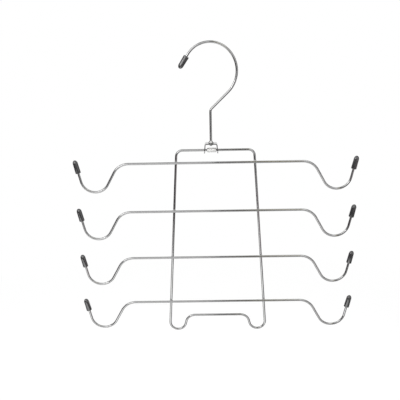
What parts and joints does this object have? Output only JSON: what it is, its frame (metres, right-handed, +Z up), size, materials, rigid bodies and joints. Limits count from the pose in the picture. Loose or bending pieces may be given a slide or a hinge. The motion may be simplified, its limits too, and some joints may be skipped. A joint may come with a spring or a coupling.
{
  "type": "tiered garment hanger",
  "caption": "Chrome wire hanger with a swivel hook and a narrow frame that carries stacked bars, each dropping into loops with black capped tips for trousers, straps and tops.",
  "frame": {"origin": "rod seat: the inside of the hook's crown, where the hanger rests on a rod", "axes": "+Z up along the hook's stem, +X to the right along the bars seen from the front, +Y from the front (the bars' side) to the back"},
  "size_m": [0.3582, 0.0111, 0.3895],
  "materials": {
    "chrome_wire": "polished chrome plate on drawn steel wire",
    "chrome_plate": "chrome plate on stamped steel strip",
    "bright_sleeve": "bright plated sleeve",
    "weld_metal": "plated weld bead, slightly dull",
    "black_vinyl": "soft black vinyl, half gloss"
  },
  "bodies": {
    "hook": {"hook_wire": "chrome_wire", "hook_tip_cap": "black_vinyl"},
    "bracket": {"swivel_bracket": "chrome_plate"},
    "frame": {"frame_wire": "chrome_wire", "frame_ferrule": "bright_sleeve", "tier_bar_1": "chrome_wire", "tier_bar_2": "chrome_wire", "tier_bar_3": "chrome_wire", "tier_bar_4": "chrome_wire", "tier_1_cap_left": "black_vinyl", "tier_1_cap_right": "black_vinyl", "tier_2_cap_left": "black_vinyl", "tier_2_cap_right": "black_vinyl", "tier_3_cap_left": "black_vinyl", "tier_3_cap_right": "black_vinyl", "tier_4_cap_left": "black_vinyl", "tier_4_cap_right": "black_vinyl", "tier_1_weld_left": "weld_metal", "tier_1_weld_right": "weld_metal", "tier_2_weld_left": "weld_metal", "tier_2_weld_right": "weld_metal", "tier_3_weld_left": "weld_metal", "tier_3_weld_right": "weld_metal", "tier_4_weld_left": "weld_metal", "tier_4_weld_right": "weld_metal"}
  },
  "joints": [
    {"name": "hook_swivel", "type": "hinge", "parent": "hook", "child": "bracket", "pos_m": [0, 0, -0.12379], "axis": [0, 0, 1], "continuous": true},
    {"name": "frame_tilt", "type": "hinge", "parent": "bracket", "child": "frame", "pos_m": [0, 0, -0.13219], "axis": [1, 0, 0], "range_deg": [-150, 150]}
  ]
}
